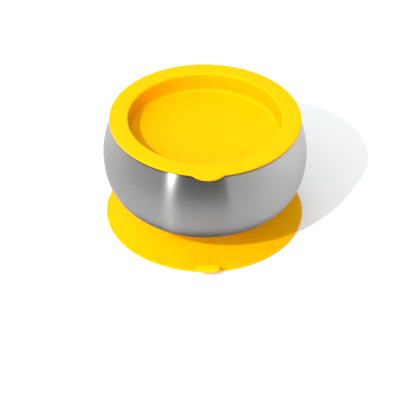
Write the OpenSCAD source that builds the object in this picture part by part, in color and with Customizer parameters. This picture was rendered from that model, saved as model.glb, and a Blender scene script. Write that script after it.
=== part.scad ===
// Toddler's suction bowl: a double-walled steel bowl with a foot ring, a silicone suction base
// that grips the foot ring, and a silicone plug lid with a pull tab.
// The origin is on the table, on the bowl's axis. +Z is up and -Y is the side with both tabs.

/* [Bowl] */
// Widest diameter of the outer shell
bowl_d = 120; // [110:1:130]
// Height of the widest point above the table
belly_z = 44.3; // [42:0.1:46]
// Height of the flat underside of the outer shell
underside_z = 12.6; // [12.6:0.1:14]
// Height of the steel rim
rim_z = 65.9; // [64:0.1:70]
// Radius of the shoulder between the belly and the rim, in side view
shoulder_r = 46; // [40:1:60]
// Inner diameter of the mouth
mouth_d = 98; // [94:1:100]
// Height of the floor inside the bowl
floor_z = 17; // [17:0.1:20]
// Thickness of the steel sheet
sheet = 0.6; // [0.5:0.1:0.8]

/* [Foot ring] */
// Outer diameter of the foot ring's wall
foot_d = 50.6; // [46:0.2:52]
// How far the flange stands out beyond the wall
flange = 1.9; // [1:0.1:2.5]
// Thickness of the pressed ring
foot_sheet = 0.8; // [0.6:0.1:1]

/* [Suction base] */
// Diameter of the suction disc
disc_d = 118.4; // [114:0.2:122]
// Thickness of the disc at its rim
rim_t = 1.1; // [0.9:0.1:1.4]
// Height of the air space under the disc
cavity_z = 4.6; // [4.4:0.1:5]
// Thickness of the silicone under the foot ring
web_t = 2.4; // [2:0.1:2.4]
// Width of the release tab
release_w = 14; // [10:1:18]
// Length of the release tab, from its root on the disc
release_l = 10.2; // [9.8:0.1:11]
// Height of the release tab's top face
release_top = 5.2; // [4.6:0.1:6]

/* [Lid] */
// Diameter of the lid
lid_d = 112; // [111:0.5:114]
// Height of the lid's top face
lid_z = 68.2; // [67.8:0.1:72]
// Thickness of the lid's rim
lid_rim_t = 2.1; // [1.6:0.1:2.1]
// Diameter of the recess at its top edge
recess_d = 90; // [80:1:90]
// Depth of the recess
recess_depth = 11.2; // [9:0.1:14]
// Thickness of the recess's wall and floor
lid_t = 2.2; // [1.8:0.1:2.2]
// How far the pull tab stands out
pull_l = 4; // [3:0.5:6]
// Radius of the pull tab, in plan
pull_r = 11.2; // [9:0.1:14]

/* [Hidden] */

$fn = 128;
steel = "silver";
silicone = "gold";

// Steel bowl
bowl_r = bowl_d / 2;
mouth_r = mouth_d / 2;
belly_in = 30;                      // how far the lower curve runs in from the belly
belly_power = 2.34;                 // 2 is an ellipse, and more is fuller
rim_round = 2.2;                    // outer edge of the rim, in side view
mouth_round = 2;                    // inner edge of the rim
seam_r = mouth_r + 4;               // where the two steel sheets meet, on top of the rim
liner_z = 40;                       // height where the liner's wall starts to turn in
liner_in = 24;
liner_power = 2.2;
liner_r = mouth_r - 0.5;            // the liner's wall leans in a little from the mouth to liner_z
rim_c_z = rim_z - rim_round;
shoulder_a = asin((rim_c_z - belly_z) / (shoulder_r - rim_round));
rim_c_r = bowl_r - shoulder_r + (shoulder_r - rim_round) * cos(shoulder_a);

// Foot ring and the collar that grips it
foot_r = foot_d / 2;
weld_w = 5;                         // width of the flange that is welded to the shell
grip_gap = 0.2;                     // clearance round the foot ring
foot_bottom = cavity_z + web_t + grip_gap;
groove_r = foot_r + flange + grip_gap;
groove_z = foot_bottom + foot_sheet + grip_gap;
hub_r = 31;
hub_edge_t = web_t - 0.1;           // thickness where the hub runs into the disc
collar_r = foot_r + 4.4;
collar_top = underside_z - 0.3;
collar_round = 0.9;
lip_round = 0.6;

// Suction disc
disc_r = disc_d / 2;
land_w = 4.5;                       // flat ring that seals on the table
slope_r = disc_r - 3.2;             // where the disc's slope meets its thin rim
slope_end_z = rim_t + 0.3;
slope_power = 1.3;                  // 1 is a straight cone, and more is hollower
rim_edge_round = 0.6;
rim_chamfer = 0.3;
disc_steps = 10;

// Release tab
release_tip = disc_r + 5.3;         // how far the tab reaches from the bowl's axis
release_root = release_tip - release_l;
release_run = 4.3;                  // length of the curve that lifts the tab off the disc
release_z = 1.45;                   // height of the tab's top face at its root
release_t = 1.7;
release_root_w = release_w - 3.4;
release_corner = 3.2;
release_root_z = 0.5;               // the tab's root is sunk in the disc down to this height
release_nose = 1.1;                 // rounding of the tip's upper edge
release_bevel = 0.6;                // bevel of the tip's lower edge
release_steps = 8;

// Lid
lid_r = lid_d / 2;
recess_r = recess_d / 2;
recess_draft = 0.8;
recess_floor = lid_z - recess_depth;
lid_under = lid_z - lid_rim_t;
plug_r = recess_r + lid_t + 0.1;
plug_round = 2;                     // lower edge of the plug, and the edge of the recess's floor
lid_edge_round = 0.9;
lid_edge_chamfer = 0.4;
recess_edge_round = 1;
seal_r = mouth_r - 0.25;
seal_z = [lid_under - 3, lid_under - 7.2];
seal_root_h = 2;                    // height of a seal's rib at the plug
seal_tip_h = 0.6;
pull_t = 1.7;
pull_drop = 0.2;                    // how far the tab's top face lies below the lid's

function reverse(points) = [for (i = [len(points) - 1:-1:0]) points[i]];

// The points after the first one, for a curve that goes on from where another one ends
function rest(points) = [for (i = [1:len(points) - 1]) points[i]];

// Points along an arc
function arc(centre, radius, from, to, steps) =
    [for (i = [0:steps]) let (a = from + (to - from) * i / steps) centre + radius * [cos(a), sin(a)]];

// A superellipse from the side wall, at side_r and top_z, round to the flat floor
function cup_curve(side_r, top_z, run_in, drop, power, steps = 22) =
    [for (i = [0:steps]) let (a = 90 * i / steps)
        [side_r - run_in * (1 - pow(cos(a), 2 / power)), top_z - drop * pow(sin(a), 2 / power)]];

// Side of the outer shell from its floor to the seam, with the sheet's outer or inner face
function shell_side(inset) = concat(
    [[0, underside_z + inset]],
    reverse(cup_curve(bowl_r - inset, belly_z, belly_in, belly_z - underside_z - inset, belly_power)),
    rest(arc([bowl_r - shoulder_r, belly_z], shoulder_r - inset, 0, shoulder_a, 8)),
    rest(arc([rim_c_r, rim_c_z], rim_round - inset, shoulder_a, 90, 5)),
    [[seam_r, rim_z - inset]]);

// Side of the liner from its floor to the seam. The inner face has no inset.
function liner_side(inset) = concat(
    [[0, floor_z - inset]],
    reverse(cup_curve(liner_r + inset, liner_z, liner_in, liner_z - floor_z + inset, liner_power)),
    arc([mouth_r + mouth_round, rim_z - mouth_round], mouth_round - inset, 180, 90, 6),
    [[seam_r, rim_z - inset]]);

module outer_shell() {
    color(steel) rotate_extrude()
        polygon(concat(shell_side(0), reverse(shell_side(sheet))));
}

module inner_bowl() {
    color(steel) rotate_extrude()
        polygon(concat(liner_side(sheet), reverse(liner_side(0))));
}

module foot_ring() {
    wall_r = foot_r - foot_sheet;
    color(steel) rotate_extrude() polygon([
        [wall_r - weld_w, underside_z - foot_sheet], [wall_r, underside_z - foot_sheet],
        [wall_r, foot_bottom], [foot_r + flange, foot_bottom], [foot_r + flange, foot_bottom + foot_sheet],
        [foot_r, foot_bottom + foot_sheet], [foot_r, underside_z], [wall_r - weld_w, underside_z]]);
}

// The part of the silicone base that holds the foot ring and closes the air space from above. The
// groove for the ring's flange is open at the top, up to the lip.
module suction_hub() {
    color(silicone) rotate_extrude() polygon(concat(
        [[0, cavity_z], [hub_r, cavity_z], [hub_r, cavity_z + hub_edge_t]],
        arc([collar_r - collar_round, collar_top - collar_round], collar_round, 10, 90, 4),
        [[groove_r, collar_top], [groove_r, cavity_z + web_t], [0, cavity_z + web_t]]));
}

// The lip of the collar, which stretches over the foot ring's flange
module collar_lip() {
    lip_r = foot_r + grip_gap;
    color(silicone) rotate_extrude() polygon(concat(
        [[groove_r, groove_z], [groove_r, collar_top]],
        arc([lip_r + lip_round, collar_top - lip_round], lip_round, 90, 180, 4),
        [[lip_r, groove_z]]));
}

// Side view of the disc's sloping upper or lower face, from the hub out to end_r
function slope(hub_z, end_r, end_z) = [for (i = [0:disc_steps]) let (s = i / disc_steps)
    [hub_r + (end_r - hub_r) * s, end_z + (hub_z - end_z) * pow(1 - s, slope_power)]];

module disc() {
    rotate_extrude() polygon(concat(
        slope(cavity_z + hub_edge_t, slope_r, slope_end_z),
        arc([disc_r - rim_edge_round, rim_t - rim_edge_round], rim_edge_round, 90, 0, 4),
        [[disc_r, rim_chamfer], [disc_r - rim_chamfer, 0]],
        reverse(slope(cavity_z, disc_r - land_w, 0))));
}

// The top face of the release tab as it rises off the disc, in side view. X is the distance out from
// the bowl's axis, and Y is the height.
function release_rise() = [for (i = [0:release_steps]) let (s = i / release_steps)
    [release_root + release_run * s, release_z + (release_top - release_z) * s * s * (3 - 2 * s)]];

module tongue_side() {
    polygon(concat(
        release_rise(),
        arc([release_tip - release_nose, release_top - release_nose], release_nose, 90, 0, 4),
        [[release_tip - release_bevel, release_top - release_t]],
        [for (p = reverse(release_rise())) [p[0], max(release_root_z, p[1] - release_t)]]));
}

module tongue_plan() {
    side = release_w / 2;
    root_side = release_root_w / 2;
    corner_y = release_corner - release_tip;
    plate_y = -(release_root + release_run);
    polygon(concat(
        [[-root_side, -release_root], [root_side, -release_root], [root_side, plate_y]],
        arc([side - release_corner, corner_y], release_corner, 0, -90, 8),
        arc([release_corner - side, corner_y], release_corner, -90, -180, 8),
        [[-root_side, plate_y]]));
}

// The release tab: a tongue that rises off the disc and runs level past its edge
module tongue() {
    intersection() {
        rotate([90, 0, -90]) translate([0, 0, -release_w]) linear_extrude(2 * release_w) tongue_side();
        linear_extrude(belly_z) tongue_plan();
    }
}

// The flexible disc, with the root of the release tab on it
module suction_skirt() {
    color(silicone) {
        disc();
        intersection() {
            tongue();
            cylinder(r = disc_r, h = belly_z);
        }
    }
}

// The free end of the release tab, past the disc's edge
module release_tab() {
    color(silicone) difference() {
        tongue();
        cylinder(r = disc_r, h = belly_z);
    }
}

// Side view of the soft ribs on the plug, which press on the liner's wall
function seal_ribs() = [for (z = seal_z) each [
    [plug_r, z + seal_root_h / 2], [seal_r, z + seal_tip_h / 2],
    [seal_r, z - seal_tip_h / 2], [plug_r, z - seal_root_h / 2]]];

module lid() {
    floor_edge_r = recess_r - recess_draft - plug_round;
    plug_bottom = recess_floor - lid_t;
    color(silicone) rotate_extrude() polygon(concat(
        [[0, recess_floor]],
        arc([floor_edge_r, recess_floor + plug_round], plug_round, -90, 0, 5),
        arc([recess_r + recess_edge_round, lid_z - recess_edge_round], recess_edge_round, 180, 90, 4),
        arc([lid_r - lid_edge_round, lid_z - lid_edge_round], lid_edge_round, 90, 0, 4),
        [[lid_r, lid_under + lid_edge_chamfer], [lid_r - lid_edge_chamfer, lid_under], [plug_r, lid_under]],
        seal_ribs(),
        arc([plug_r - plug_round, plug_bottom + plug_round], plug_round, 0, -90, 4),
        [[0, plug_bottom]]));
}

module lid_pull_tab() {
    color(silicone) difference() {
        translate([0, -(lid_r + pull_l - pull_r), lid_z - pull_drop - pull_t])
            cylinder(r = pull_r, h = pull_t);
        cylinder(r = lid_r, h = 2 * lid_z);
    }
}

outer_shell();
inner_bowl();
foot_ring();
suction_hub();
collar_lip();
suction_skirt();
release_tab();
lid();
lid_pull_tab();
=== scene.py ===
"""Looks for the suction bowl: a steel bowl with a silicone suction base and a silicone lid.

Sizes in this script are in millimetres, and mesh code turns them into metres. Angles round the bowl
are measured from the front (-Y), where both tabs are, towards +X.
"""

import math

import bmesh
import bpy
from mathutils import Matrix, Vector


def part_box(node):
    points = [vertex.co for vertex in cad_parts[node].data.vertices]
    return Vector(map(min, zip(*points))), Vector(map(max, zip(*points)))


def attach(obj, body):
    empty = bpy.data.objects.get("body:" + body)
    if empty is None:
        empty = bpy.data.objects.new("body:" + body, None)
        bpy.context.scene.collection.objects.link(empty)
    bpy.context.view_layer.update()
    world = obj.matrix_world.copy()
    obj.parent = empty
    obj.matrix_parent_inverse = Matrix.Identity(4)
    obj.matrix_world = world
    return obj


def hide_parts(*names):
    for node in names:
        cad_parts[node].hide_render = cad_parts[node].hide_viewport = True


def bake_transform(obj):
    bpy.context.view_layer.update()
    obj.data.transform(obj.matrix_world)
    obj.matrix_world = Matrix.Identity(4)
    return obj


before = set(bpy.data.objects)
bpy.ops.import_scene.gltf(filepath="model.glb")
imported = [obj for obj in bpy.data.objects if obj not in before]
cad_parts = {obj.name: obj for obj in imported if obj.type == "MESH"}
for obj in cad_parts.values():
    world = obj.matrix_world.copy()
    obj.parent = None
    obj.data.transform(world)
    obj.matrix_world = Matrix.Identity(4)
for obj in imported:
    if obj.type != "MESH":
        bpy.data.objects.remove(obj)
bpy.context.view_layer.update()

MM = 0.001


# ---------------------------------------------------------------- sizes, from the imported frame

def reach(node):
    """Largest distance of a CAD node from the bowl's axis."""
    return max(math.hypot(v.co.x, v.co.y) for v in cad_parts[node].data.vertices) / MM


def low(node):
    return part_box(node)[0].z / MM


def high(node):
    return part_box(node)[1].z / MM


def front(node):
    """How far a CAD node reaches towards the front."""
    return -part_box(node)[0].y / MM


BOWL_R = reach("outer_shell")
RIM_Z = high("outer_shell")
UNDERSIDE_Z = low("outer_shell")
SEAM_R = reach("inner_bowl")
LINER_BOTTOM = low("inner_bowl")
FLANGE_R = reach("foot_ring")
FOOT_BOTTOM = low("foot_ring")
HUB_R = reach("suction_hub")
HUB_BOTTOM = low("suction_hub")
COLLAR_TOP = high("suction_hub")
GROOVE_R = reach("collar_lip")
GROOVE_Z = low("collar_lip")
DISC_R = reach("suction_skirt")
HUB_EDGE_Z = high("suction_skirt")
RELEASE_TIP = front("release_tab")
RELEASE_TOP = high("release_tab")
LID_R = reach("lid")
LID_Z = high("lid")
PLUG_BOTTOM = low("lid")
PULL_TIP = front("lid_pull_tab")

SHEET = 0.6                   # steel sheet of the bowl
BELLY_Z = 44.3                # height of the bowl's widest point
SHOULDER_R = 46               # shoulder between the belly and the rim, in side view
RIM_ROUND = 2.2
SEAM_HALF = 0.06              # half the width of the fine groove at the seam
SEAM_DEPTH = 0.08
MOUTH_R = SEAM_R - 4
FOOT_SHEET = 0.8              # steel sheet of the foot ring
FOOT_WALL_R = FLANGE_R - 1.9  # outside of the foot ring, above its flange
LID_RIM_T = 2.1
RECESS_R = LID_R - 11
RECESS_FLOOR = PLUG_BOTTOM + 2.2
RIM_T = 1.1                   # edge of the suction disc
SLOPE_R = DISC_R - 3.2        # where the disc's slope runs out into its flat rim
SLOPE_FOOT_Z = RIM_T + 0.3
SLOPE_POWER = 1.3             # how hollow the disc's slope is
TONGUE_L = 10.2               # release tab, from its root on the disc to its tip
TONGUE_RUN = 4.3              # length of the curve that lifts the tab off the disc
TONGUE_ROOT_Z = 1.45
TONGUE_T = 1.7
TONGUE_THINNING = 0.7         # how much thinner the tab gets past its curve
TONGUE_LIP = 0.3              # height of the rounding above the middle of the tab's edge
TONGUE_SHOULDER = 3.2         # how far the tab's corners lie behind its tip
TONGUE_LOWEST = 0.5           # the tab stays this far off the table
TONGUE_W = 14
TONGUE_ROOT_W = 10.6


# ---------------------------------------------------------------- outlines

def arc(centre_r, centre_z, radius, start, end, steps):
    """Points along an arc in side view, from angle start to end in degrees."""
    turns = [math.radians(start + (end - start) * i / steps) for i in range(steps + 1)]
    return [(centre_r + radius * math.cos(a), centre_z + radius * math.sin(a)) for a in turns]


def cup_curve(side_r, top_z, run_in, drop, power, steps=40):
    """A superellipse from the side wall, at side_r and top_z, round to the flat floor."""
    points = []
    for i in range(steps + 1):
        a = math.pi / 2 * i / steps
        across = max(math.cos(a), 0) ** (2 / power)
        points.append((side_r - run_in * (1 - across), top_z - drop * math.sin(a) ** (2 / power)))
    return points


def rounded(corners, step=12):
    """An outline through corners (r, z, fillet radius), with each fillet turned in steps of about step
    degrees."""
    points = [corners[0][:2]]
    for before, corner, after in zip(corners, corners[1:], corners[2:]):
        here = Vector(corner[:2])
        to_before = (Vector(before[:2]) - here).normalized()
        to_after = (Vector(after[:2]) - here).normalized()
        inner = to_before.angle(to_after)
        if corner[2] == 0 or inner > math.pi - 0.01:
            points.append(tuple(here))
            continue
        back = corner[2] / math.tan(inner / 2)
        centre = here + (to_before + to_after).normalized() * corner[2] / math.sin(inner / 2)
        arm = here + to_before * back - centre
        turn = math.pi - inner
        if arm.x * (here + to_after * back - centre).y - arm.y * (here + to_after * back - centre).x < 0:
            turn = -turn
        steps = max(2, round(math.degrees(abs(turn)) / step))
        for i in range(steps + 1):
            a = turn * i / steps
            c, s = math.cos(a), math.sin(a)
            points.append((centre.x + c * arm.x - s * arm.y, centre.y + s * arm.x + c * arm.y))
    return points + [corners[-1][:2]]


def inward(outline, distance):
    """The outline of the sheet's other face, to the left of the direction of travel."""
    moved = []
    for i, (r, z) in enumerate(outline):
        before = outline[max(i - 1, 0)]
        after = outline[min(i + 1, len(outline) - 1)]
        along = Vector((after[0] - before[0], after[1] - before[1])).normalized()
        moved.append((max(r - along.y * distance, 0), z + along.x * distance))
    return moved


# ---------------------------------------------------------------- meshes

def plan_angles():
    """Angles of the columns of a turned mesh, closer together at the front, where tabs and mark are."""
    fine = [i * 0.3 for i in range(-45, 46)]
    coarse = [fine[-1] + (360 - 2 * fine[-1]) * i / 168 for i in range(1, 168)]
    return [math.radians(a) for a in fine + coarse]


ANGLES = plan_angles()


def add_object(name, bm):
    bmesh.ops.recalc_face_normals(bm, faces=bm.faces)
    mesh = bpy.data.meshes.new(name)
    bm.to_mesh(mesh)
    bm.free()
    mesh.shade_smooth()
    mesh.set_sharp_from_angle(angle=math.radians(40))
    obj = bpy.data.objects.new(name, mesh)
    bpy.context.collection.objects.link(obj)
    return obj


def turned(name, outline, reshape=None):
    """A closed solid of revolution. reshape(r, z, angle) may move the points of each column."""
    bm = bmesh.new()
    same_point, on_axis = 0.004, 1e-6
    kept = [outline[0]]
    for point in outline[1:]:
        if math.dist(point, kept[-1]) > same_point:
            kept.append(point)
    closed = kept[0][0] > on_axis
    rows = []
    for r, z in kept:
        if r < on_axis:
            rows.append([bm.verts.new((0, 0, z * MM))])
            continue
        row = []
        for a in ANGLES:
            radius, height = reshape(r, z, a) if reshape else (r, z)
            row.append(bm.verts.new((radius * MM * math.sin(a), -radius * MM * math.cos(a), height * MM)))
        rows.append(row)
    pairs = list(zip(rows, rows[1:])) + ([(rows[-1], rows[0])] if closed else [])
    for upper, lower in pairs:
        for i in range(len(ANGLES)):
            j = (i + 1) % len(ANGLES)
            corners = [upper[i % len(upper)], upper[j % len(upper)],
                       lower[j % len(lower)], lower[i % len(lower)]]
            bm.faces.new(list(dict.fromkeys(corners)))       # a point on the axis counts once
    return add_object(name, bm)


def smooth_max(a, b, width):
    """The larger of two values, with the change between them rounded over width."""
    near = max(width - abs(a - b), 0) / width
    return max(a, b) + near * near * width / 4


def smooth_step(t):
    t = min(max(t, 0), 1)
    return t * t * (3 - 2 * t)


# ---------------------------------------------------------------- materials

class Nodes:
    """Short calls for building a tree of nodes."""

    def __init__(self, tree):
        self.tree = tree

    def add(self, kind, inputs=(), **settings):
        node = self.tree.nodes.new(kind)
        for name, value in settings.items():
            setattr(node, name, value)
        for socket, value in dict(inputs).items():
            if isinstance(value, bpy.types.NodeSocket):
                self.tree.links.new(value, node.inputs[socket])
            else:
                node.inputs[socket].default_value = value
        return node

    def math(self, operation, a, b=0.0):
        return self.add("ShaderNodeMath", {0: a, 1: b}, operation=operation).outputs[0]

    def total(self, first, *others):
        for value in others:
            first = self.math("ADD", first, value)
        return first

    def product(self, a, b):
        return self.math("MULTIPLY", a, b)

    def spread(self, value, low_value, high_value, start=0.0, end=1.0, smooth=False):
        """Maps value from start..end to low_value..high_value, and holds the end values beyond."""
        inputs = {"Value": value, "From Min": start, "From Max": end,
                  "To Min": low_value, "To Max": high_value}
        kind = "SMOOTHSTEP" if smooth else "LINEAR"
        return self.add("ShaderNodeMapRange", inputs, interpolation_type=kind).outputs["Result"]

    def turn_band(self, turn, start, end, low_value, high_value):
        """low_value to the left of start, high_value to the right of end. start and end are in degrees."""
        return self.spread(turn, low_value, high_value, math.radians(start), math.radians(end), smooth=True)

    def turn_bands(self, turn, *bands):
        """The sum of several bands, each with its start, end, low_value and high_value."""
        return self.total(*(self.turn_band(turn, *band) for band in bands))

    def mix(self, factor, a, b):
        return self.add("ShaderNodeMix", {"Factor": factor, "A": a, "B": b}).outputs["Result"]

    def noise(self, vector, scale, detail=2.0, roughness=0.5):
        inputs = {"Vector": vector, "Scale": scale, "Detail": detail, "Roughness": roughness}
        return self.add("ShaderNodeTexNoise", inputs).outputs["Fac"]

    def turn_and_parts(self, place):
        """The turn of a point or a direction from the front, in radians, and its x, y and z."""
        parts = self.add("ShaderNodeSeparateXYZ", {0: place}).outputs
        return self.math("ARCTAN2", parts[0], self.product(parts[1], -1.0)), parts

    def from_axis(self, x, y):
        """Distance from the bowl's axis."""
        return self.math("SQRT", self.total(self.product(x, x), self.product(y, y)))


class Surface(Nodes):
    """The nodes of one material."""

    def __init__(self, name):
        self.material = bpy.data.materials.new(name)
        self.material.use_nodes = True
        super().__init__(self.material.node_tree)
        self.shader = self.tree.nodes["Principled BSDF"]
        self.place = self.add("ShaderNodeTexCoord").outputs["Object"]

    def join(self, output, socket):
        self.tree.links.new(output, self.shader.inputs[socket])

    def set(self, values):
        for name, value in values.items():
            self.shader.inputs[name].default_value = value

    def blend_colours(self, factor, a, b):
        node = self.add("ShaderNodeMix", data_type="RGBA")
        self.tree.links.new(factor, node.inputs["Factor"])
        node.inputs["A"].default_value = (*a, 1)
        node.inputs["B"].default_value = (*b, 1)
        return node.outputs["Result"]

    def bump(self, height, strength, distance):
        inputs = {"Height": height, "Strength": strength, "Distance": distance}
        self.join(self.add("ShaderNodeBump", inputs).outputs["Normal"], "Normal")


def brushed_steel(name, tone, roughness, grain):
    """Steel brushed round the bowl's axis, with painted shade that darkens its colour where it is tucked in
    close under the lid. grain is how many brush lines there are per millimetre up the wall."""
    n = Surface(name)
    x, y, z = n.add("ShaderNodeSeparateXYZ", {0: n.place}).outputs
    up_the_wall = n.total(z, n.from_axis(x, y))
    along = 0.1 / MM              # a brush line is about 10 mm long
    lines_at = n.add("ShaderNodeCombineXYZ", {
        0: n.product(x, along), 1: n.product(y, along), 2: n.product(up_the_wall, grain / MM)}).outputs[0]
    fine = n.noise(lines_at, 1.0, 4.0, 0.65)
    broad = n.noise(n.place, 28.0, 2.0)
    shade = n.total(n.product(fine, 0.8), n.product(broad, 0.2))
    # Painted shade: ambient occlusion darkens the steel's colour where other parts, such as the lid, close it
    # in.
    open_air = n.add("ShaderNodeAmbientOcclusion", {"Distance": 4.0 * MM}, samples=8).outputs["AO"]
    painted_contact_shade = n.spread(open_air, 0.42, 1.0, 0.52, 0.92, smooth=True)
    brushed = n.spread(shade, 0.985, 1.0, 0.3, 0.5)
    n.join(n.blend_colours(n.product(brushed, painted_contact_shade), (0, 0, 0), tone), "Base Color")
    n.join(n.spread(shade, roughness - 0.01, roughness + 0.01, 0.3, 0.7), "Roughness")
    n.join(n.add("ShaderNodeTangent", direction_type="RADIAL", axis="Z").outputs[0], "Tangent")
    n.bump(fine, 0.004, 0.00002)
    n.set({"Metallic": 1.0, "Anisotropic": 1.0, "Anisotropic Rotation": 0.25})
    return n.material


def silicone(name, colour, scatter, scatter_m):
    """Moulded silicone: matt, faintly mottled, with painted shade that makes its upright faces deeper in
    colour. Light scatters under its skin over scatter_m."""
    n = Surface(name)
    mottle = n.noise(n.place, 40.0, 3.0)
    skin = n.noise(n.place, 1800.0, 3.0, 0.6)
    normal = n.add("ShaderNodeTexCoord").outputs["Normal"]
    facing_up = n.add("ShaderNodeSeparateXYZ", {0: normal}).outputs[2]
    # Painted shade: upright faces are given a darker colour than faces turned up.
    painted_upright_shade = n.spread(facing_up, 0.78, 1.0, 0.2, 0.95, smooth=True)
    tone = n.product(n.spread(mottle, 0.97, 1.0, 0.35, 0.65), painted_upright_shade)
    n.join(n.blend_colours(tone, (0, 0, 0), colour), "Base Color")
    n.join(n.spread(skin, 0.5, 0.62, 0.3, 0.7), "Roughness")
    n.bump(skin, 0.2, 0.00004)
    n.set({"Subsurface Weight": scatter, "Subsurface Radius": (1.0, 0.4, 0.05), "Subsurface Scale": scatter_m,
           "IOR": 1.41, "Specular IOR Level": 0.02})
    return n.material


# ---------------------------------------------------------------- steel bowl

def shell_outline():
    """Side of the outer shell's outer face, from the middle of its floor up to the seam on the rim."""
    rim_z = RIM_Z - RIM_ROUND
    lean = math.degrees(math.asin((rim_z - BELLY_Z) / (SHOULDER_R - RIM_ROUND)))
    rim_r = BOWL_R - SHOULDER_R + (SHOULDER_R - RIM_ROUND) * math.cos(math.radians(lean))
    lower = cup_curve(BOWL_R, BELLY_Z, 30, BELLY_Z - UNDERSIDE_Z, 2.34)
    return ([(0, UNDERSIDE_Z), (15, UNDERSIDE_Z)] + lower[::-1]
            + arc(BOWL_R - SHOULDER_R, BELLY_Z, SHOULDER_R, 0, lean, 16)[1:]
            + arc(rim_r, rim_z, RIM_ROUND, lean, 90, 7)[1:]
            + [(SEAM_R + SEAM_HALF, RIM_Z), (SEAM_R, RIM_Z - SEAM_DEPTH)])


def liner_outline():
    """Side of the liner's inner face, from the middle of the bowl's floor up to the seam on the rim."""
    floor_z = LINER_BOTTOM + SHEET
    wall_top = 40
    mouth_round = 2
    wall = cup_curve(MOUTH_R - 0.5, wall_top, 24, wall_top - floor_z, 2.2)
    return ([(0, floor_z), (12, floor_z)] + wall[::-1]
            + arc(MOUTH_R + mouth_round, RIM_Z - mouth_round, mouth_round, 180, 90, 8)
            + [(SEAM_R - SEAM_HALF, RIM_Z), (SEAM_R, RIM_Z - SEAM_DEPTH)])


def foot_outline():
    """Side of the foot ring: welded land under the shell, upright wall, and flange at the bottom."""
    inside_r = FOOT_WALL_R - FOOT_SHEET
    land_r = inside_r - 5
    land_z = UNDERSIDE_Z - FOOT_SHEET
    flange_z = FOOT_BOTTOM + FOOT_SHEET
    start = (land_r, UNDERSIDE_Z - FOOT_SHEET / 2, 0)
    corners = [start, (land_r, land_z, 0.2), (inside_r, land_z, 0.3), (inside_r, FOOT_BOTTOM, 0.9),
               (FLANGE_R, FOOT_BOTTOM, 0.25), (FLANGE_R, flange_z, 0.25), (FOOT_WALL_R, flange_z, 0.3),
               (FOOT_WALL_R, UNDERSIDE_Z, 0.4), (land_r, UNDERSIDE_Z, 0.2), start]
    return rounded(corners)[:-1]


def make_steel():
    shell = shell_outline()
    outer = turned("shell_skin", shell + inward(shell, SHEET)[::-1])
    liner = liner_outline()
    inner = turned("liner_skin", liner + inward(liner, -SHEET)[::-1])
    foot = turned("foot_ring_skin", foot_outline())
    outer_steel = brushed_steel("steel_outside", (0.5, 0.5, 0.5), 0.28, 3.0)
    inner_steel = brushed_steel("steel_inside", (0.52, 0.52, 0.52), 0.28, 3.0)
    for obj, node, material in ((outer, "outer_shell", outer_steel), (inner, "inner_bowl", inner_steel),
                                (foot, "foot_ring", inner_steel)):
        obj.data.materials.append(material)
        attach(obj, "bowl")
        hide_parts(node)


# ---------------------------------------------------------------- lid

def pull_tab_reach(angle):
    """Radius of the lid's edge at an angle: the lid's own or the pull tab's, with a fillet between them."""
    tab_r = 11.2
    centre = PULL_TIP - tab_r
    off_centre = centre * math.sin(angle)
    if abs(off_centre) >= tab_r or math.cos(angle) < 0:
        return LID_R
    tab_reach = centre * math.cos(angle) + math.sqrt(tab_r ** 2 - off_centre ** 2)
    return smooth_max(LID_R, tab_reach, 0.9)


def lid_edge(r, z, angle):
    """Draws the rim of the lid out to the pull tab. The rim's own rounded edge keeps its shape."""
    follow = smooth_step((r - LID_R + 3.5) / 2.3) if z > LID_Z - LID_RIM_T - 0.01 else 0
    return r + follow * (pull_tab_reach(angle) - LID_R), z


def make_lid(material):
    under = LID_Z - LID_RIM_T
    plug_r = RECESS_R + 2.3
    seal_r = MOUTH_R - 0.25
    ribs = []
    for z in (under - 3, under - 7.2):
        ribs += [(plug_r, z + 1, 0.3), (seal_r, z + 0.3, 0.25), (seal_r, z - 0.3, 0.25), (plug_r, z - 1, 0.3)]
    outline = rounded([
        (0, RECESS_FLOOR, 0), (20, RECESS_FLOOR, 0),
        (RECESS_R - 1.2, RECESS_FLOOR, 2.6), (RECESS_R, LID_Z, 1.1),
        (LID_R - 3.4, LID_Z, 0), (LID_R - 2.8, LID_Z, 0), (LID_R - 2.2, LID_Z, 0), (LID_R - 1.6, LID_Z, 0),
        (LID_R, LID_Z, 0.3), (LID_R, LID_Z - 1.2, 0.3), (LID_R - 1.2, under, 0.4), (LID_R - 2.4, under, 0),
        (LID_R - 3.4, under, 0), (plug_r, under, 0.3), *ribs,
        (plug_r, PLUG_BOTTOM, 2), (20, PLUG_BOTTOM, 0), (0, PLUG_BOTTOM, 0)], step=10)
    lid = turned("lid_moulding", outline, lid_edge)
    lid.data.materials.append(material)
    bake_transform(lid)
    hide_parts("lid", "lid_pull_tab")


# ---------------------------------------------------------------- suction base

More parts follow.
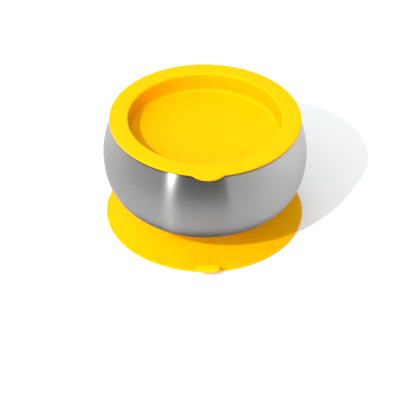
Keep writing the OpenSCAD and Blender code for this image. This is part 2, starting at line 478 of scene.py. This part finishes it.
def base_outline():
    """Side of the base: web, groove, lip, collar, sloping disc, sealing land and air space."""
    web_z = FOOT_BOTTOM - 0.2
    lip_r = FOOT_WALL_R + 0.2
    collar_r = lip_r + 4.2
    slope_start = HUB_R + 2.4
    cavity_r = DISC_R - 4.5
    top = rounded([(0, web_z, 0), (12, web_z, 0), (GROOVE_R, web_z, 0.3), (GROOVE_R, GROOVE_Z, 0.3),
                   (lip_r, GROOVE_Z, 0.25), (lip_r, COLLAR_TOP, 0.6), (collar_r, COLLAR_TOP, 0.9),
                   (HUB_R, HUB_EDGE_Z, 1.2), (HUB_R + 2, slope_height(HUB_R + 2), 0)])
    slope = []
    for i in range(65):
        r = slope_start + (SLOPE_R - slope_start) * i / 64
        slope.append((r, slope_height(r)))
    rim = rounded([(SLOPE_R, SLOPE_FOOT_Z, 0), (SLOPE_R + 1, RIM_T, 0.5), (DISC_R, RIM_T, 0.5),
                   (DISC_R, 0, 0.3), (cavity_r, 0, 0.4), (cavity_r - 0.6, 0.05, 0)])
    cavity = []
    for i in range(1, 25):
        s = i / 24
        cavity.append((cavity_r + (HUB_R - cavity_r) * s, HUB_BOTTOM * s ** SLOPE_POWER))
    return top + slope + rim[1:] + cavity + [(HUB_R - 1, HUB_BOTTOM), (12, HUB_BOTTOM), (0, HUB_BOTTOM)]


def slope_height(r):
    """Height of the disc's upper face."""
    along = (SLOPE_R - r) / (SLOPE_R - HUB_R)
    return SLOPE_FOOT_Z + (HUB_EDGE_Z - SLOPE_FOOT_Z) * max(along, 0) ** SLOPE_POWER


def distance_to_stroke(point, start, end):
    along = end - start
    t = min(max((point - start).dot(along) / along.length_squared, 0), 1)
    return (point - start - along * t).length


def emboss_mark(obj):
    """Raises a plain forked mark on the disc, whose stem points out to the release tab."""
    fork = Vector((0, -46.0))
    strokes = [(fork, Vector((0, -52.2))), (fork, Vector((-1.7, -43.7))), (fork, Vector((1.7, -43.7)))]
    half_width, height = 0.6, 0.25
    for v in obj.data.vertices:
        here = Vector((v.co.x, v.co.y)) / MM
        if v.normal.z > 0.5 and here.y < -40:
            off = min(distance_to_stroke(here, a, b) for a, b in strokes) / half_width
            if off < 1:
                v.co.z += height * MM * math.cos(off * math.pi / 2) ** 2


def tongue_top(out):
    """Height of the release tab's top face, at a distance out from its root."""
    rise = smooth_step(out / TONGUE_RUN)
    droop = max(out - TONGUE_RUN - 2.4, 0) / (TONGUE_L - TONGUE_RUN - 2.4)
    return TONGUE_ROOT_Z + (RELEASE_TOP - TONGUE_ROOT_Z) * rise - 0.45 * droop ** 2


def tongue_half_width(out):
    return TONGUE_ROOT_W / 2 + (TONGUE_W - TONGUE_ROOT_W) / 2 * smooth_step((out - TONGUE_RUN + 0.6) / 2.6)


def tongue_point(u, v, side):
    """A point of the release tab's skin. u runs across the tab from -1 to 1, v runs out from its root from 0
    to 1, and side is 1 on the top face and -1 underneath."""
    edge_round = TONGUE_T / 2
    length = TONGUE_L - TONGUE_SHOULDER * (1 - max(1 - abs(u) ** 3, 0) ** (1 / 3))
    out = v * length
    half_w = tongue_half_width(out)
    edge = min((1 - abs(u)) * half_w, length - out, edge_round) / edge_round
    round_off = math.sqrt(max(1 - (1 - edge) ** 2, 0))
    thick = TONGUE_T - TONGUE_THINNING * smooth_step((out - TONGUE_RUN) / 4)
    above = TONGUE_LIP if side > 0 else TONGUE_LIP - thick
    z = tongue_top(out) - TONGUE_LIP + above * round_off
    return u * half_w, TONGUE_L - RELEASE_TIP - out, max(z, TONGUE_LOWEST)


def release_tongue():
    """The release tab: a tongue that rises off the disc's rim and runs level out past it."""
    bm = bmesh.new()
    cols, rows = 32, 48
    across = [math.sin(math.pi / 2 * (2 * i / cols - 1)) for i in range(cols + 1)]
    outward = [math.sin(math.pi / 2 * j / rows) for j in range(rows + 1)]
    sheets = [[[tongue_point(u, v, side) for u in across] for v in outward] for side in (1, -1)]
    verts = {}
    for side, grid in enumerate(sheets):
        for j, line in enumerate(grid):
            for i, point in enumerate(line):
                on_edge = i in (0, cols) or j == rows
                key = (0 if on_edge else side, i, j)
                if key not in verts:
                    verts[key] = bm.verts.new(Vector(point) * MM)
                verts[(side, i, j)] = verts[key]
    for side in (0, 1):
        for j in range(rows):
            for i in range(cols):
                bm.faces.new([verts[(side, i, j)], verts[(side, i + 1, j)],
                              verts[(side, i + 1, j + 1)], verts[(side, i, j + 1)]])
    for i in range(cols):
        root = [verts[(0, i, 0)], verts[(0, i + 1, 0)], verts[(1, i + 1, 0)], verts[(1, i, 0)]]
        bm.faces.new(list(dict.fromkeys(root)))              # a point on the side edge counts once
    return add_object("release_tongue", bm)


def make_base(material, tab_painted_light_material):
    base = turned("base_moulding", base_outline())
    emboss_mark(base)
    base.data.materials.append(material)
    base.visible_glossy = False       # the steel's lower edge mirrors the shade under the bowl
    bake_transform(base)
    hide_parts("suction_hub", "collar_lip", "suction_skirt")
    tongue = release_tongue()
    tongue.data.materials.append(tab_painted_light_material)
    tongue.visible_glossy = False
    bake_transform(tongue)
    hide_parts("release_tab")


# ---------------------------------------------------------------- studio

LAMP_UP = 44                  # degrees above the table
LAMP_DISTANCE = 1768
KEY_TURN = -39.5              # degrees from the front, and minus is to the left
STREAK_TURN = -43.5


def first_reflection(n):
    """1 where a surface or the studio is seen mirrored in the steel, and 0 elsewhere."""
    path = n.add("ShaderNodeLightPath").outputs
    return n.product(path["Is Glossy Ray"], n.math("LESS_THAN", path["Diffuse Depth"], 0.5))


def studio_round(n, turn):
    """Brightness of the studio all round, as the steel shows it."""
    return n.total(n.turn_bands(turn,
                                (-160, -60, 0.9, 0.0),         # pale wall at the back and the left
                                (-60, -35, 0.33, 0.0),         # dark gap in front
                                (20.5, 22.5, 0.0, 0.48),       # sharp edge of a pale card on the right
                                (25, 115, 0.0, 0.75)), 0.14)


def make_floor():
    """A pale floor with a faint glow, slightly cool against the warm card. The steel mirrors it in painted
    tones of its own: nearly even close to the bowl, and in step with the studio further out."""
    bm = bmesh.new()
    half = 4.0                    # metres
    corners = [bm.verts.new((x * half, y * half, 0)) for x, y in ((-1, -1), (1, -1), (1, 1), (-1, 1))]
    bm.faces.new(corners)
    floor = add_object("floor", bm)
    n = Surface("floor_paint")
    turn, (x, y, _) = n.turn_and_parts(n.place)
    far = n.spread(n.from_axis(x, y), 0.0, 1.0, 0.08, 0.3, smooth=True)
    near_tone = n.turn_band(turn, 20, 60, 0.51, 0.6)
    mirrored_tone = n.mix(far, near_tone, n.product(studio_round(n, turn), 0.58))
    mirrored = first_reflection(n)
    tone = n.mix(mirrored, 0.83, mirrored_tone)
    red = n.product(tone, n.mix(mirrored, 0.94, 0.97))
    n.join(n.add("ShaderNodeCombineColor", {0: red, 1: tone, 2: tone}).outputs[0], "Base Color")
    n.join(n.mix(mirrored, 0.1, 0.0), "Emission Strength")
    n.set({"Roughness": 0.9, "Specular IOR Level": 0.0, "Emission Color": (1, 1, 1, 1)})
    floor.data.materials.append(n.material)


def make_world():
    """A soft white studio, brighter low down and from the left, with a warm card low in front. The steel
    mirrors a version of its own, and the camera sees plain white."""
    world = bpy.data.worlds.new("studio")
    bpy.context.scene.world = world
    world.use_nodes = True
    world.cycles.sampling_method = "NONE"     # or else the steel would see both versions
    world.node_tree.nodes.clear()
    n = Nodes(world.node_tree)
    direction = n.add("ShaderNodeTexCoord").outputs["Generated"]
    turn, (_, _, height) = n.turn_and_parts(direction)

    def light(strength, more_red=0.0):
        red = n.total(strength, more_red)
        colour = n.add("ShaderNodeCombineColor", {0: red, 1: strength, 2: strength}).outputs[0]
        return n.add("ShaderNodeBackground", {"Color": colour}).outputs[0]

    low = n.turn_bands(turn, (-90, -20, 2.2, 2.4), (30, 70, 0.0, -2.3), (140, 175, 0.0, 1.4))
    middle = n.turn_bands(turn, (-80, -30, 1.75, 1.7), (10, 60, 0.0, -1.6), (140, 178, 0.0, 0.8))
    low_band = n.mix(n.spread(height, 0.0, 1.0, 0.25, 0.45, smooth=True), low, middle)
    soft = n.mix(n.spread(height, 0.0, 1.0, 0.55, 0.85, smooth=True), low_band, 0.95)
    in_front = n.product(n.turn_band(turn, -70, -30, 0.0, 1.0), n.turn_band(turn, 20, 70, 1.0, 0.0))
    warm = n.product(in_front, n.spread(height, 2.2, 0.0, 0.15, 0.4, smooth=True))
    gap = n.product(n.turn_band(turn, -120, -60, 0.0, 1.0), n.turn_band(turn, 20.5, 22.5, 1.0, 0.0))
    overhead_from = n.mix(gap, 0.6, 0.85)
    overhead = n.spread(height, 0.0, 1.0, overhead_from, n.total(overhead_from, 0.3), smooth=True)
    mirrored = n.mix(overhead, studio_round(n, turn), 1.4)
    lit = n.add("ShaderNodeMixShader", {0: first_reflection(n), 1: light(soft, warm), 2: light(mirrored)})
    camera = n.add("ShaderNodeLightPath").outputs["Is Camera Ray"]
    seen = n.add("ShaderNodeMixShader", {0: camera, 1: lit.outputs[0], 2: light(1.0)})
    n.tree.links.new(seen.outputs[0], n.add("ShaderNodeOutputWorld").inputs["Surface"])


def add_lamp(name, turn, energy):
    """A small lamp that shines all round."""
    light = bpy.data.lights.new(name, "POINT")
    light.energy = energy
    light.shadow_soft_size = 0.025
    lamp = bpy.data.objects.new(name, light)
    azimuth, elevation = math.radians(turn), math.radians(LAMP_UP)
    towards = Vector((math.sin(azimuth) * math.cos(elevation), -math.cos(azimuth) * math.cos(elevation),
                      math.sin(elevation)))
    lamp.location = towards * LAMP_DISTANCE * MM
    bpy.context.collection.objects.link(lamp)
    return lamp


def make_lamps():
    """One lamp draws the sharp shadows, and the other the streak in the steel."""
    add_lamp("key", KEY_TURN, 92).visible_glossy = False
    add_lamp("streak", STREAK_TURN, 56).visible_diffuse = False


def make_camera():
    """Looks down at the bowl from the front, a little to its left, with a slight roll."""
    aside, back, height = 2.2, 799.9, 630.1
    turn, pitch, roll = math.radians(-2.25), math.radians(38.19), math.radians(0.67)
    forward = Vector((0, math.cos(pitch), -math.sin(pitch)))
    up = Vector((0, math.sin(pitch), math.cos(pitch)))
    right = Vector((1, 0, 0))
    rolled_right = right * math.cos(roll) + up * math.sin(roll)
    rolled_up = up * math.cos(roll) - right * math.sin(roll)
    axes = Matrix((rolled_right, rolled_up, -forward)).transposed().to_4x4()
    camera_data = bpy.data.cameras.new("camera")
    camera_data.sensor_width = 36
    camera_data.lens = 145.2
    camera = bpy.data.objects.new("camera", camera_data)
    place = Matrix.Translation(Vector((aside, -back, height)) * MM) @ axes
    camera.matrix_world = Matrix.Rotation(turn, 4, "Z") @ place
    bpy.context.collection.objects.link(camera)
    bpy.context.scene.camera = camera


bpy.context.scene.view_settings.view_transform = "Standard"
make_camera()
make_world()
make_lamps()
make_floor()
lid_yellow = silicone("lid_silicone", (0.92, 0.455, 0.0), 0.1, 0.0012)
# Painted shade: the base's copy of the silicone is redder than the lid's, to give its shaded parts their
# orange; its stronger scattering suits the thin disc.
base_yellow = silicone("base_silicone", (1.0, 0.45, 0.0), 0.6, 0.006)
# Painted light: the tab's copy of the silicone is a lighter yellow, so that its plate looks brighter than the
# disc.
tab_painted_light_yellow = silicone("tab_silicone_painted_light", (1.0, 0.52, 0.0), 0.4, 0.003)
make_steel()
make_lid(lid_yellow)
make_base(base_yellow, tab_painted_light_yellow)
